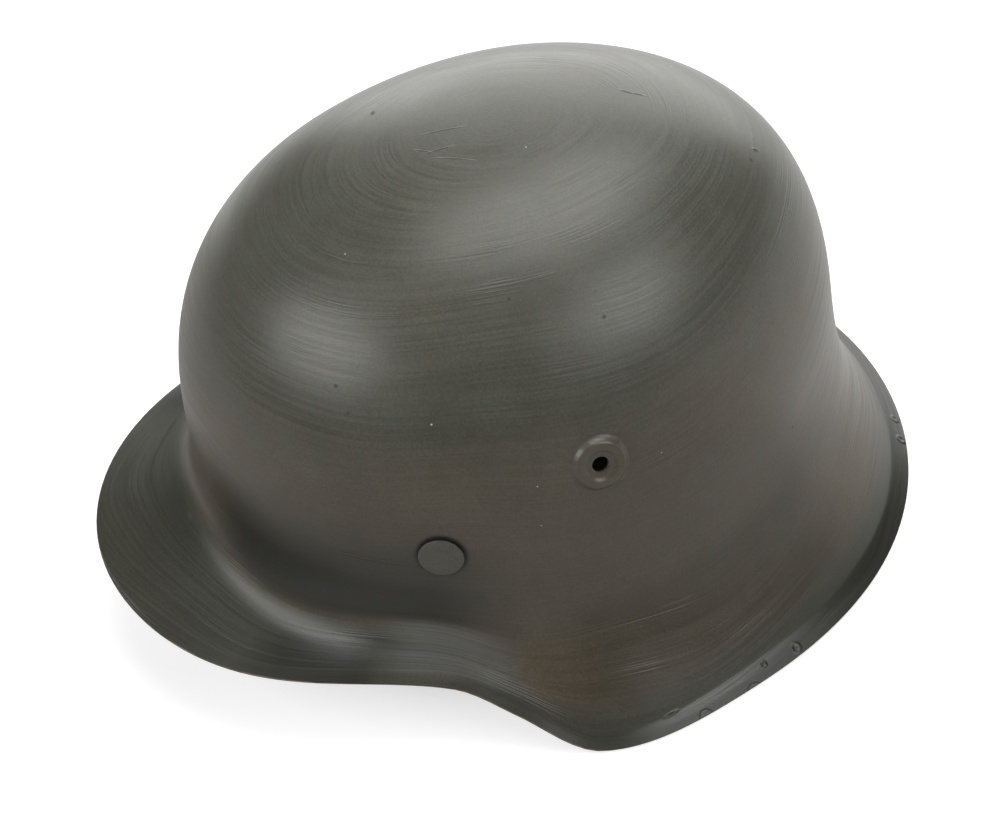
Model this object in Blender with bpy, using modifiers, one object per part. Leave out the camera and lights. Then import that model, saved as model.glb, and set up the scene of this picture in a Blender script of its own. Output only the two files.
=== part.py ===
"""Steel helmet with a visor and a neck guard: one pressed shell and three split rivets.

The frame is in metres with +Z up. The visor points to -Y and the wearer's left is +X.
The helmet rests on the edge of its neck guard at z = 0, and x = 0 is its plane of symmetry.
"""
import math
from collections import namedtuple

import bmesh
import bpy
import numpy as np
from mathutils import Matrix, Vector

MM = 0.001

# Sheet and crown
SHEET = 1.2 * MM
GAP = 0.3 * MM
CROWN_TOP = 161.8 * MM
CROWN_TOP_BACK = 12.0 * MM
WAIST_HEIGHT = {"front": 66.7 * MM, "side": 55.3 * MM, "rear": 72.0 * MM}
CROWN_FULLNESS = {"front": 2.45, "side": 2.33, "rear": 2.51}

# Sections of the shell: angle in degrees from the visor round to the rear, lengths in mm, slopes in
# degrees below level. The waist is where the upright crown wall starts to flare into the skirt, and
# the fold is the corner that the skirt's curve rounds.
Section = namedtuple("Section", (
    "angle waist_radius fold_radius fold_height skirt_slope rim_radius rim_height lip_width lip_slope"))
SECTIONS = [
    Section(0, 108.5, 110.8, 43.9, 21, 147.6, 33.0, 1.5, 21),
    Section(30, 105.7, 111.7, 37.3, 16, 134.0, 30.2, 1.5, 16),
    Section(50, 101.2, 106.1, 40.4, 42, 116.8, 28.0, 1.5, 42),
    Section(60, 98.8, 104.6, 38.5, 49, 113.4, 25.9, 2.5, 45),
    Section(70, 97.1, 102.8, 28.0, 52, 115.3, 14.9, 5.0, 40),
    Section(82, 96.1, 101.5, 28.0, 58, 122.6, 1.0, 5.8, 35),
    Section(95, 96.1, 101.0, 28.0, 58, 123.1, 0.8, 6.5, 32),
    Section(105, 96.7, 101.0, 28.3, 58, 121.8, 0.8, 6.5, 32),
    Section(115, 97.6, 101.2, 28.8, 58, 122.5, 0.8, 6.5, 33),
    Section(140, 101.8, 104.9, 31.7, 60, 127.0, 0.8, 6.5, 36),
    Section(180, 110.2, 110.6, 34.6, 63, 129.6, 0.8, 6.5, 38),
]
STEADY_COLUMNS = ("rim_height", "lip_width")

# The skirt's curve leaves the waist upright and meets the lip at its slope: each handle's share of
# the height from waist to fold, or of the straight line from fold to lip
WALL_SHARE = {"front": 0.85, "side": 0.60, "rear": 0.60}
SKIRT_SHARE = {"front": 0.80, "side": 0.56, "rear": 0.56}

# The lip starts to fold this share of its width above its corner
LIP_FOLD = 0.22

# The middle of the waist lies behind the middle of the length
CENTRE_BACK = (SECTIONS[0].rim_radius - SECTIONS[-1].rim_radius) / 2 * MM

# Grid of the shell, for one half
COLUMNS = 48
CROWN_ROWS = 14
SKIRT_ROWS = 7

# Vents: a stamped ring round a small hole on each side. Rows of the stamp are radius and height
# over the wall.
VENT_ANGLE = 91.8
VENT_HEIGHT = 95.0 * MM
VENT_HOLE_RADIUS = 2.6 * MM
VENT_RING = [(2.2, 0.1), (4.0, 0.4), (5.0, 1.1), (6.4, 1.5), (7.8, 1.0), (9.2, -0.4)]
VENT_SINK = 0.8 * MM
VENT_GROOVE = [(3.6, -2.4), (4.8, -0.4), (6.4, 0.2), (7.6, -0.3), (8.4, -2.4)]
VENT_SIDES = 20

# Split rivets that hold the lining band: head outside, post through the wall, legs bent over inside
RIVET_ANGLE = 59.7
RIVET_HEIGHT = 71.6 * MM
HEAD_RADIUS = 7.3 * MM
HEAD_EDGE = 0.8 * MM
HEAD_CENTRE = 1.5 * MM
HEAD_SIDES = 24
POST_RADIUS = 2.4 * MM
POST_SIDES = 16
LEG_REACH = 12.0 * MM
LEG_WIDTH = 4.0 * MM
LEG_THICKNESS = 1.0 * MM
LEG_DEPTH = 2.7 * MM

# Cutters reach this far past what they cut
OVERSHOOT = 6.0 * MM

PAINT = {"color": (0.085, 0.084, 0.072, 1.0), "roughness": 0.45, "metallic": 0.0}


def level_slopes(stations, values):
    """Slopes that make the cubic through the stations smooth in curvature, level at both ends."""
    gaps = np.diff(stations)
    count = len(stations)
    system = np.eye(count)
    rises = np.zeros(count)
    for i in range(1, count - 1):
        before, after = 1 / gaps[i - 1], 1 / gaps[i]
        system[i, i - 1:i + 2] = before, 2 * (before + after), after
        rises[i] = 3 * ((values[i] - values[i - 1]) * before**2 + (values[i + 1] - values[i]) * after**2)
    return np.linalg.solve(system, rises)


def steady_slopes(stations, values):
    """Slopes that keep the cubic between its stations' values: the harmonic mean of both sides."""
    steps = np.diff(values) / np.diff(stations)
    slopes = np.zeros(len(stations))
    for i in range(1, len(stations) - 1):
        if steps[i - 1] * steps[i] > 0:
            slopes[i] = 2 * steps[i - 1] * steps[i] / (steps[i - 1] + steps[i])
    return slopes


def column(name, angle):
    """Value of one column of the section table at an angle in degrees from the visor."""
    stations = np.radians([section.angle for section in SECTIONS])
    values = np.array([getattr(section, name) for section in SECTIONS], float)
    slopes = (steady_slopes if name in STEADY_COLUMNS else level_slopes)(stations, values)
    at = math.radians(angle)
    i = min(int(np.searchsorted(stations, at, side="right")) - 1, len(stations) - 2)
    gap = stations[i + 1] - stations[i]
    s = (at - stations[i]) / gap
    return (values[i] * (1 + 2 * s) * (1 - s)**2 + values[i + 1] * s**2 * (3 - 2 * s)
            + gap * s * (1 - s) * (slopes[i] * (1 - s) - slopes[i + 1] * s))


def round_the_side(sizes, angle):
    """Blend front, side and rear values by the square of the angle's cosine."""
    cosine = math.cos(math.radians(angle))
    end = sizes["front"] if cosine > 0 else sizes["rear"]
    return sizes["side"] + (end - sizes["side"]) * cosine**2


def crown_point(angle, turn):
    """Point of the crown: turn 0 is the top and 1 the waist, along a superellipse."""
    power = 2 / round_the_side(CROWN_FULLNESS, angle)
    across = math.sin(turn * math.pi / 2)**power
    upward = max(math.cos(turn * math.pi / 2), 0.0)**power
    waist_height = round_the_side(WAIST_HEIGHT, angle)
    radius = column("waist_radius", angle) * MM * across
    back = CROWN_TOP_BACK * (1 - across)
    height = waist_height + (CROWN_TOP - waist_height) * upward
    return radius, back, height


def rim_edge(angle):
    """Radius and height of the rim's outer edge."""
    return np.array([column("rim_radius", angle), column("rim_height", angle)]) * MM


def up_slope(name, angle):
    """Step of length one, as radius and height, that climbs inwards at a column's slope."""
    slope = math.radians(column(name, angle))
    return np.array([-math.cos(slope), math.sin(slope)])


def lip_curve(angle):
    """Start of the lip's fold, its corner and the rim, as radius and height."""
    rim = rim_edge(angle)
    width = column("lip_width", angle) * MM
    corner = rim + width * up_slope("lip_slope", angle)
    start = corner + LIP_FOLD * width * up_slope("skirt_slope", angle)
    return start, corner, rim


def skirt_curve(angle):
    """The five control points, as radius and height, of the curve from the waist to the lip."""
    waist = np.array([column("waist_radius", angle) * MM, round_the_side(WAIST_HEIGHT, angle)])
    fold = np.array([column("fold_radius", angle), column("fold_height", angle)]) * MM
    end = lip_curve(angle)[0]
    drop = round_the_side(WALL_SHARE, angle) * (waist[1] - fold[1])
    reach = round_the_side(SKIRT_SHARE, angle) * np.linalg.norm(end - fold)
    return waist, waist - np.array([0.0, drop]), fold, end + reach * up_slope("skirt_slope", angle), end


def curve_point(controls, along):
    """Point of the Bezier curve with these control points: along 0 is its start and 1 its end."""
    degree = len(controls) - 1
    return sum(math.comb(degree, i) * (1 - along)**(degree - i) * along**i * control
               for i, control in enumerate(controls))


def place(angle, radius, height, back=0.0):
    """Point of the shell at an angle from the visor."""
    turn = math.radians(angle)
    return Vector((radius * math.sin(turn), CENTRE_BACK + back - radius * math.cos(turn), height))


def section_points(angle):
    """Points of the outer face from just under the top to the rim at one angle."""
    points = []
    for row in range(1, CROWN_ROWS + 1):
        radius, back, height = crown_point(angle, row / CROWN_ROWS)
        points.append(place(angle, radius, height, back))
    for row in range(1, SKIRT_ROWS + 1):
        points.append(place(angle, *curve_point(skirt_curve(angle), row / SKIRT_ROWS)))
    points.append(place(angle, *curve_point(lip_curve(angle), 0.5)))
    points.append(place(angle, *rim_edge(angle)))
    return points


def wall_frame(angle, height):
    """Frame of the crown's outer face at a height: X along the wall, Y up it, Z outwards."""
    low, high = 0.0, 1.0
    for _ in range(40):
        middle = (low + high) / 2
        if crown_point(angle, middle)[2] > height:
            low = middle
        else:
            high = middle
    step = 1e-3

    def at(shift_angle, shift_turn):
        radius, back, up = crown_point(angle + shift_angle, low + shift_turn)
        return place(angle + shift_angle, radius, up, back)

    origin = at(0, 0)
    along = at(step, 0) - origin
    if angle >= 180:
        along = Vector((-1, 0, 0))
    up = at(0, -step) - origin
    outwards = along.cross(up).normalized()
    along.normalize()
    up = outwards.cross(along)
    return Matrix.Translation(origin) @ Matrix((along, up, outwards)).transposed().to_4x4()


def on_side(frame, side):
    """The frame itself for the left side, or its mirror image across x = 0 for the right one."""
    if side > 0:
        return frame
    mirror = Matrix.Diagonal((-1, 1, 1, 1))
    return mirror @ frame @ mirror


def collection(name):
    """New collection in the scene."""
    group = bpy.data.collections.new(name)
    bpy.context.scene.collection.children.link(group)
    return group


def material(name, look):
    """Principled material from a colour, a roughness and a metallic value."""
    paint = bpy.data.materials.new(name)
    paint.use_nodes = True
    shader = paint.node_tree.nodes["Principled BSDF"]
    shader.inputs["Base Color"].default_value = look["color"]
    shader.inputs["Roughness"].default_value = look["roughness"]
    shader.inputs["Metallic"].default_value = look["metallic"]
    paint.diffuse_color = look["color"]
    return paint


def add_object(name, mesh, group, frame=Matrix.Identity(4)):
    """Object of a mesh, placed by a frame."""
    body = bpy.data.objects.new(name, mesh)
    body.matrix_world = frame
    group.objects.link(body)
    return body


def as_cutter(body):
    """Show a cutter as wires and keep it out of renders."""
    body.hide_render = True
    body.display_type = "WIRE"
    return body


def turned(name, profile, sides, group, frame, closed=False):
    """Profile of radius and height in mm, top to bottom on its outer side, turned by a Screw."""
    mesh = bpy.data.meshes.new(name)
    points = [(radius * MM, 0.0, height * MM) for radius, height in profile]
    edges = [(i, i + 1) for i in range(len(points) - 1)]
    if closed:
        edges.append((len(points) - 1, 0))
    mesh.from_pydata(points, edges, [])
    body = add_object(name, mesh, group, frame)
    screw = body.modifiers.new("turn", "SCREW")
    screw.steps = sides
    screw.render_steps = sides
    screw.use_merge_vertices = True
    screw.merge_threshold = 0.01 * MM
    return body


def rod(name, radius, sides, group, frame):
    """Cutter for a round hole along the frame's Z."""
    mesh = bpy.data.meshes.new(name)
    shape = bmesh.new()
    bmesh.ops.create_cone(shape, cap_ends=True, segments=sides, radius1=radius, radius2=radius,
                          depth=2 * OVERSHOOT)
    shape.to_mesh(mesh)
    shape.free()
    return as_cutter(add_object(name, mesh, group, frame))


def box(name, size, centre, group, frame=Matrix.Identity(4)):
    """Box of a size round a centre."""
    mesh = bpy.data.meshes.new(name)
    shape = bmesh.new()
    bmesh.ops.create_cube(shape, size=1.0, matrix=Matrix.Translation(centre) @ Matrix.Diagonal((*size, 1)))
    shape.to_mesh(mesh)
    shape.free()
    return add_object(name, mesh, group, frame)


def boolean(body, operation, cutter):
    """Join or cut a body with another object."""
    step = body.modifiers.new(cutter.name, "BOOLEAN")
    step.operation = operation
    step.object = cutter


def half_shell_mesh():
    """Outer face of the left half, lofted from the sections, open at x = 0 and at the rim."""
    shape = bmesh.new()
    top = shape.verts.new((0.0, CENTRE_BACK + CROWN_TOP_BACK, CROWN_TOP))
    columns = []
    for i in range(COLUMNS + 1):
        points = section_points(180.0 * i / COLUMNS)
        if i in (0, COLUMNS):
            for point in points:
                point.x = 0.0
        columns.append([shape.verts.new(point) for point in points])
    for near, far in zip(columns, columns[1:]):
        shape.faces.new((top, near[0], far[0]))
        for row in range(len(near) - 1):
            shape.faces.new((near[row], near[row + 1], far[row + 1], far[row]))
    mesh = bpy.data.meshes.new("shell")
    shape.to_mesh(mesh)
    shape.free()
    return mesh


def both_sides(body, shell):
    """Repeat a cutter on the other side of the shell's plane of symmetry."""
    mirror = body.modifiers.new("right side", "MIRROR")
    mirror.mirror_object = shell
    mirror.use_mirror_merge = False


def build_shell(parts, forms, cutters, paint):
    """The pressed shell: half surface, mirrored, given its sheet, vents and rivet holes."""
    shell = add_object("shell", half_shell_mesh(), parts)
    mirror = shell.modifiers.new("right half", "MIRROR")
    mirror.merge_threshold = 0.01 * MM
    sheet = shell.modifiers.new("sheet", "SOLIDIFY")
    sheet.thickness = SHEET
    sheet.offset = -1.0
    sheet.use_even_offset = True
    boolean(shell, "UNION", vent_ring(shell, forms))
    cut_vents(shell, cutters)
    for name, frame in rivet_frames():
        rod(f"hole_{name}", POST_RADIUS + GAP, POST_SIDES, cutters, frame)
    as_cutter(box("table", (1.0, 1.0, 2 * OVERSHOOT), (0.0, 0.0, -OVERSHOOT), cutters))
    cut = shell.modifiers.new("cuts", "BOOLEAN")
    cut.operation = "DIFFERENCE"
    cut.operand_type = "COLLECTION"
    cut.collection = cutters
    shell.data.materials.append(paint)
    shell.data.shade_smooth()
    return shell


def vent_ring(shell, forms):
    """The stamped ring that stands out from the wall, on both sides."""
    sink = VENT_SINK / MM
    outline = [(0.0, VENT_RING[0][1])] + VENT_RING + [(VENT_RING[-1][0], -sink), (0.0, -sink)]
    frame = wall_frame(VENT_ANGLE, VENT_HEIGHT)
    ring = as_cutter(turned("vent_ring", outline, VENT_SIDES, forms, frame))
    both_sides(ring, shell)
    return ring


def cut_vents(shell, cutters):
    """The stamp's groove in the inner face and the hole through it, on both sides."""
    frame = wall_frame(VENT_ANGLE, VENT_HEIGHT)
    groove = as_cutter(turned("vent_groove", VENT_GROOVE, VENT_SIDES, cutters, frame, closed=True))
    hole = rod("vent_hole", VENT_HOLE_RADIUS, VENT_SIDES, cutters, frame)
    both_sides(groove, shell)
    both_sides(hole, shell)


def rivet_frames():
    """Names and wall frames of the three rivets."""
    side = wall_frame(RIVET_ANGLE, RIVET_HEIGHT)
    rear = wall_frame(180.0, RIVET_HEIGHT)
    return (("left", on_side(side, 1)), ("right", on_side(side, -1)), ("rear", rear))


def build_rivet(name, frame, parts, forms, paint):
    """Domed head and post in one turned piece, with the two legs joined on inside."""
    head, edge, crown = HEAD_RADIUS / MM, HEAD_EDGE / MM, HEAD_CENTRE / MM
    foot, post = GAP / MM, POST_RADIUS / MM
    end = -(LEG_DEPTH + LEG_THICKNESS) / MM
    profile = [(0.0, foot + crown), (0.55 * head, foot + crown - 0.2 * (crown - edge)),
               (0.9 * head, foot + edge), (head, foot + 0.6 * edge), (0.97 * head, foot),
               (post, foot), (post, end), (0.0, end)]
    rivet = turned(f"rivet_{name}", profile, HEAD_SIDES, parts, frame)
    size = (2 * LEG_REACH, LEG_WIDTH, LEG_THICKNESS)
    centre = (0.0, 0.0, -LEG_DEPTH - LEG_THICKNESS / 2)
    legs = as_cutter(box(f"legs_{name}", size, centre, forms, frame))
    boolean(rivet, "UNION", legs)
    rivet.data.materials.append(paint)
    rivet.data.shade_smooth()
    return rivet


def main():
    for old in list(bpy.data.objects):
        bpy.data.objects.remove(old, do_unlink=True)
    parts = collection("stahlhelm")
    forms = collection("joined_forms")
    cutters = collection("cutters")
    build_shell(parts, forms, cutters, material("shell_paint", PAINT))
    for name, frame in rivet_frames():
        build_rivet(name, frame, parts, forms, material(f"rivet_{name}_paint", PAINT))


main()
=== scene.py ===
"""Looks of a painted steel helmet: pressed shell, split rivets, paint, floor, lights and camera.

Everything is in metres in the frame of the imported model: +Z up, the visor to -Y and the wearer's
left to +X. Angles round the helmet are in radians from the visor, by the wearer's left, to the
rear.
"""
import logging
from dataclasses import dataclass, field, fields
from enum import Enum

import bpy
import numpy as np
from mathutils import Matrix, Vector


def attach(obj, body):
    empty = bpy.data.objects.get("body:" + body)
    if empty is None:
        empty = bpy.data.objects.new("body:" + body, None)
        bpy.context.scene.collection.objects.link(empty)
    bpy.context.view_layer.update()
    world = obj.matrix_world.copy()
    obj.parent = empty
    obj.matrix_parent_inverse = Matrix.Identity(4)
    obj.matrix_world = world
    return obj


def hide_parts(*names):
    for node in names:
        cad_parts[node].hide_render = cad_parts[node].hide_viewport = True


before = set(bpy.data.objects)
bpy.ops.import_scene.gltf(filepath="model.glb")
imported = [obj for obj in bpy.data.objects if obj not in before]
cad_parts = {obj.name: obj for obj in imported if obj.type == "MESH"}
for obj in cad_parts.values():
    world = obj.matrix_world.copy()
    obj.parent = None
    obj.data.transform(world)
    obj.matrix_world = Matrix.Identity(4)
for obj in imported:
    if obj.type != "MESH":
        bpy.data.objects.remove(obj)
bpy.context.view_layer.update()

Array = np.ndarray
Piece = bpy.types.Object
Socket = bpy.types.NodeSocket
Tree = bpy.types.NodeTree
Span = tuple[float, float]
Triple = tuple[float, float, float]

MM = 0.001
BODY = "root"

log = logging.getLogger("helmet")


class Side(Enum):
    """Side of the helmet, as the wearer has it."""

    LEFT = 1
    RIGHT = -1
    REAR = 0


@dataclass(frozen=True)
class Section:
    """One upright section of the shell: angle in degrees from the visor, lengths in mm, slopes in
    degrees below level."""

    angle: float
    waist_radius: float
    fold_radius: float
    fold_height: float
    skirt_slope: float
    rim_radius: float
    rim_height: float
    lip_width: float
    lip_slope: float


SECTIONS = (
    Section(0, 108.5, 110.8, 43.9, 21, 147.6, 33.0, 1.5, 21),
    Section(30, 105.7, 111.7, 37.3, 16, 134.0, 30.2, 1.5, 16),
    Section(50, 101.2, 106.1, 40.4, 42, 116.8, 28.0, 1.5, 42),
    Section(60, 98.8, 104.6, 38.5, 49, 113.4, 25.9, 2.5, 45),
    Section(70, 97.1, 102.8, 28.0, 52, 115.3, 14.9, 4.0, 48),
    Section(82, 96.1, 101.5, 28.0, 58, 122.55, 1.0, 4.4, 43),
    Section(95, 96.1, 101.0, 28.0, 58, 123.05, 0.8, 4.9, 35),
    Section(105, 96.7, 101.0, 28.3, 58, 121.8, 0.8, 5.5, 33),
    Section(115, 97.6, 101.2, 28.8, 58, 122.5, 0.8, 6.1, 33),
    Section(140, 101.8, 104.9, 31.7, 60, 127.0, 0.8, 6.5, 36),
    Section(180, 110.2, 110.6, 34.6, 63, 129.6, 0.8, 6.5, 38),
)


def as_rows(*columns: Array) -> Array:
    """Stack arrays of coordinates into points, with the coordinates on the last axis."""
    return np.stack(np.broadcast_arrays(*columns), axis=-1)


def unit(vectors: Array) -> Array:
    """Scale vectors, whose coordinates are on the last axis, to length one."""
    return vectors / np.linalg.norm(vectors, axis=-1, keepdims=True)


def smooth_step(low: float, high: float, value: Array) -> Array:
    """Ease from 0 at low to 1 at high, which may be the smaller one, with 3s^2 - 2s^3."""
    s = np.clip((value - low) / (high - low), 0.0, 1.0)
    return s * s * (3.0 - 2.0 * s)


class Curve:
    """Cubic curve through stations, level at both ends.

    Between stations i and i + 1 it is the Hermite cubic of their values and slopes. An even curve
    takes the slopes that make its curvature continuous; a steady one takes the harmonic mean of
    the steps on both sides, so that it never passes beyond its stations' values.
    """

    def __init__(self, stations: Array, values: Array, steady: bool = False) -> None:
        """Work out the slopes.

        Args:
            stations: Rising places along the curve.
            values: The curve's value at each station.
            steady: Whether the curve must keep between its stations' values.
        """
        self.stations = stations
        self.values = values
        gaps = np.diff(stations)
        steps = np.diff(values) / gaps
        self.slopes = np.zeros(len(stations))
        before, after = steps[:-1], steps[1:]
        if steady:
            same_way = before * after > 0
            total = np.where(same_way, before + after, 1.0)
            self.slopes[1:-1] = np.where(same_way, 2.0 * before * after / total, 0.0)
        else:
            system = np.diag(np.r_[1.0, 2.0 / gaps[:-1] + 2.0 / gaps[1:], 1.0])
            system += np.diag(np.r_[1.0 / gaps[:-1], 0.0], -1)
            system += np.diag(np.r_[0.0, 1.0 / gaps[1:]], 1)
            rises = np.r_[0.0, 3.0 * (before / gaps[:-1] + after / gaps[1:]), 0.0]
            self.slopes = np.linalg.solve(system, rises)

    def __call__(self, at: Array) -> Array:
        """Read the curve.

        Args:
            at: Places along it; past an end the end's value holds.

        Returns:
            The values there.
        """
        at = np.clip(at, self.stations[0], self.stations[-1])
        i = np.clip(np.searchsorted(self.stations, at, side="right") - 1, 0, len(self.stations) - 2)
        gap = self.stations[i + 1] - self.stations[i]
        s = (at - self.stations[i]) / gap
        ends = self.values[i] * (1 + 2 * s) * (1 - s) ** 2 + self.values[i + 1] * s**2 * (3 - 2 * s)
        lean = gap * s * (1 - s) * (self.slopes[i] * (1 - s) - self.slopes[i + 1] * s)
        return ends + lean


@dataclass
class PressedForm:
    """The outer face of the shell as a surface of two parameters.

    The first is the angle from the visor. The second, the fall, runs from the top of the crown at 0
    to the waist at 1, down the skirt to the foot of the lip at 2 and over the lip to the rim at 3.
    """

    sheet: float = 1.2 * MM
    crown_top: float = 161.8 * MM
    crown_top_back: float = 12.0 * MM
    waist_heights: Triple = (66.7 * MM, 55.3 * MM, 72.0 * MM)
    crown_fullness: Triple = (2.45, 2.33, 2.51)
    wall_shares: Triple = (0.85, 0.60, 0.60)
    skirt_shares: Triple = (0.80, 0.56, 0.56)
    lip_fold: float = 0.22
    steady_columns: tuple[str, ...] = ("rim_height", "lip_width")
    table_start: float = 0.02
    table_size: int = 2000
    curves: dict[str, Curve] = field(default_factory=dict)

    def __post_init__(self) -> None:
        """Make a curve round the helmet from each column of the section table."""
        angles = np.radians([section.angle for section in SECTIONS])
        for name in (column.name for column in fields(Section) if column.name != "angle"):
            scale = np.pi / 180 if name.endswith("slope") else MM
            values = np.array([getattr(section, name) for section in SECTIONS], float) * scale
            self.curves[name] = Curve(angles, values, name in self.steady_columns)
        self.centre_back = (SECTIONS[0].rim_radius - SECTIONS[-1].rim_radius) / 2 * MM

    def column(self, name: str, angle: Array) -> Array:
        """Read a column of the section table at any angle; both sides are alike."""
        folded = np.abs((angle + np.pi) % (2 * np.pi) - np.pi)
        return self.curves[name](folded)

    def blend(self, sizes: Triple, angle: Array) -> Array:
        """Blend front, side and rear values by the square of the angle's cosine.

        Args:
            sizes: Values at the front, the side and the rear.
            angle: Where the blend is read.

        Returns:
            side + (end - side) cos^2, with the front or the rear as the end.
        """
        front, side, rear = sizes
        cosine = np.cos(angle)
        return side + (np.where(cosine > 0, front, rear) - side) * cosine**2

    def place(self, angle: Array, radius: Array, back: Array, height: Array) -> Array:
        """Turn an angle, a radius, a shift to the rear and a height into points."""
        x = radius * np.sin(angle)
        y = self.centre_back + back - radius * np.cos(angle)
        return as_rows(x, y, height)

    def crown(self, angle: Array, fall: Array) -> Array:
        """Points of the crown.

        With u the fall as a quarter turn and n the fullness, the radius is the waist's times
        sin(u)^(2/n) and the height over the waist is the crown's times cos(u)^(2/n), while the
        middle slides from the top's place to the waist's.
        """
        power = 2.0 / self.blend(self.crown_fullness, angle)
        turn = np.clip(fall, 0.0, 1.0) * np.pi / 2
        across = np.sin(turn) ** power
        upward = np.clip(np.cos(turn), 0.0, 1.0) ** power
        waist_height = self.blend(self.waist_heights, angle)
        radius = self.column("waist_radius", angle) * across
        height = waist_height + (self.crown_top - waist_height) * upward
        return self.place(angle, radius, self.crown_top_back * (1 - across), height)

    def lip_corners(self, angle: Array) -> tuple[Array, Array, Array]:
        """Radius and height of the fold's start, the fold's corner and the rim, at each angle."""
        rim = as_rows(self.column("rim_radius", angle), self.column("rim_height", angle))
        width = self.column("lip_width", angle)[..., None]
        lip_slope = self.column("lip_slope", angle)
        skirt_slope = self.column("skirt_slope", angle)
        corner = rim + width * as_rows(-np.cos(lip_slope), np.sin(lip_slope))
        start = corner + self.lip_fold * width * as_rows(-np.cos(skirt_slope), np.sin(skirt_slope))
        return start, corner, rim

    def skirt(self, angle: Array, fall: Array) -> Array:
        """Points of the skirt: a Bezier curve of degree 4 round the fold between wall and skirt.

        It leaves the waist upright and reaches the lip at its slope, and its middle handle is the
        fold's corner.
        """
        start, _, _ = self.lip_corners(angle)
        waist = as_rows(self.column("waist_radius", angle), self.blend(self.waist_heights, angle))
        fold = as_rows(self.column("fold_radius", angle), self.column("fold_height", angle))
        slope = self.column("skirt_slope", angle)
        drop = self.blend(self.wall_shares, angle) * (waist[..., 1] - fold[..., 1])
        reach = self.blend(self.skirt_shares, angle) * np.linalg.norm(start - fold, axis=-1)
        below = waist - as_rows(np.zeros_like(drop), drop)
        above = start + reach[..., None] * as_rows(-np.cos(slope), np.sin(slope))
        s = np.clip(fall - 1.0, 0.0, 1.0)[..., None]
        t = 1.0 - s
        curve = t**4 * waist + 4 * s * t**3 * below + 6 * s**2 * t**2 * fold
        curve = curve + 4 * s**3 * t * above + s**4 * start
        return self.place(angle, curve[..., 0], np.zeros_like(drop), curve[..., 1])

    def lip(self, angle: Array, fall: Array) -> Array:
        """Points of the lip: a quadratic Bezier curve that folds outwards soon after its start."""
        start, corner, rim = self.lip_corners(angle)
        s = np.clip(fall - 2.0, 0.0, 1.0)[..., None]
        curve = (1 - s) ** 2 * start + 2 * s * (1 - s) * corner + s**2 * rim
        return self.place(angle, curve[..., 0], np.zeros(curve.shape[:-1]), curve[..., 1])

    def point(self, angle: Array, fall: Array) -> Array:
        """Points of the outer face.

        Args:
            angle: Angles from the visor.
            fall: Second parameter, of a shape that broadcasts with the angles.

        Returns:
            Points, with the coordinates on the last axis.
        """
        angle, fall = np.broadcast_arrays(np.asarray(angle, float), np.asarray(fall, float))
        on_crown = self.crown(angle, fall)
        on_skirt = self.skirt(angle, fall)
        on_lip = self.lip(angle, fall)
        points = np.where((fall > 1.0)[..., None], on_skirt, on_crown)
        return np.where((fall > 2.0)[..., None], on_lip, points)

    def tangents(self, angle: Array, fall: Array) -> tuple[Array, Array]:
        """Derivatives of the surface by angle and by fall, from central differences."""
        step = 1e-4
        fall = np.clip(fall, step, 3.0 - step)
        by_angle = (self.point(angle + step, fall) - self.point(angle - step, fall)) / (2 * step)
        by_fall = (self.point(angle, fall + step) - self.point(angle, fall - step)) / (2 * step)
        return by_angle, by_fall

    def normal(self, angle: Array, fall: Array) -> Array:
        """Outward unit normals: the cross product of the tangents down and round the helmet."""
        by_angle, by_fall = self.tangents(angle, fall)
        return unit(np.cross(by_fall, by_angle))

    def fall_at_height(self, angle: float, height: float) -> float:
        """Fall at which the crown passes a height, read back from a fine table of the section."""
        falls = np.linspace(self.table_start, 1.0, self.table_size)
        heights = self.crown(np.full(falls.shape, angle), falls)[:, 2]
        return float(np.interp(-height, -heights, falls))


@dataclass
class Frame3:
    """Place on the wall: its origin, and unit axes along the wall, up it and outwards."""

    origin: Array
    along: Array
    up: Array
    out: Array

    def to_local(self, points: Array) -> Array:
        """Coordinates of points along, up and out from the origin."""
        away = points - self.origin
        return as_rows(away @ self.along, away @ self.up, away @ self.out)

    def to_world(self, local: Array) -> Array:
        """Points from coordinates along, up and out."""
        return (self.origin + local[..., :1] * self.along + local[..., 1:2] * self.up
                + local[..., 2:] * self.out)


def wall_frame(form: PressedForm, angle: float, fall: float) -> Frame3:
    """Frame of the shell's outer face at one point.

    Args:
        form: The shell's surface.
        angle: Angle from the visor.
        fall: Second parameter of the surface.

    Returns:
        The frame there.
    """
    angles, falls = np.array([angle]), np.array([fall])
    by_angle, _ = form.tangents(angles, falls)
    out = form.normal(angles, falls)[0]
    along = unit(by_angle[0] - out * (by_angle[0] @ out))
    return Frame3(form.point(angles, falls)[0], along, np.cross(out, along), out)


@dataclass
class Punch:
    """A round hole in the shell's grid, with the grid bent to it.

    The grid's squares round the hole become circles: a point of the square ring m cells from the
    middle goes to radius r(m), and the bend fades out over a span of the patch. The stamped ring
    rises over one span of radii and falls to a shelf and turns in over two others, each by a
    share of its height.
    """

    angle: float
    height: float
    hole_radius: float = 2.75 * MM
    patch_radius: float = 12.0 * MM
    cells: int = 22
    hole_cells: int = 5
    ring_height: float = 1.9 * MM
    bend_span: Span = (1.0, 0.62)
    newton_steps: int = 3
    rise_span: Span = (9.4 * MM, 7.7 * MM)
    shelf_span: Span = (5.6 * MM, 4.4 * MM)
    shelf_share: float = 0.50
    turn_in_span: Span = (3.4 * MM, 2.4 * MM)
    turn_in_share: float = 0.17

    def stamp(self, radius: Array) -> Array:
        """Height of the stamped ring over the wall at a radius from the hole's middle."""
        shelf = self.shelf_share * smooth_step(*self.shelf_span, radius)
        turn_in = self.turn_in_share * smooth_step(*self.turn_in_span, radius)
        return self.ring_height * (smooth_step(*self.rise_span, radius) - shelf - turn_in)


def nearest(values: Array, target: float) -> int:
    """Index of the value that is nearest to a target."""
    return int(np.argmin(np.abs(values - target)))


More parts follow.
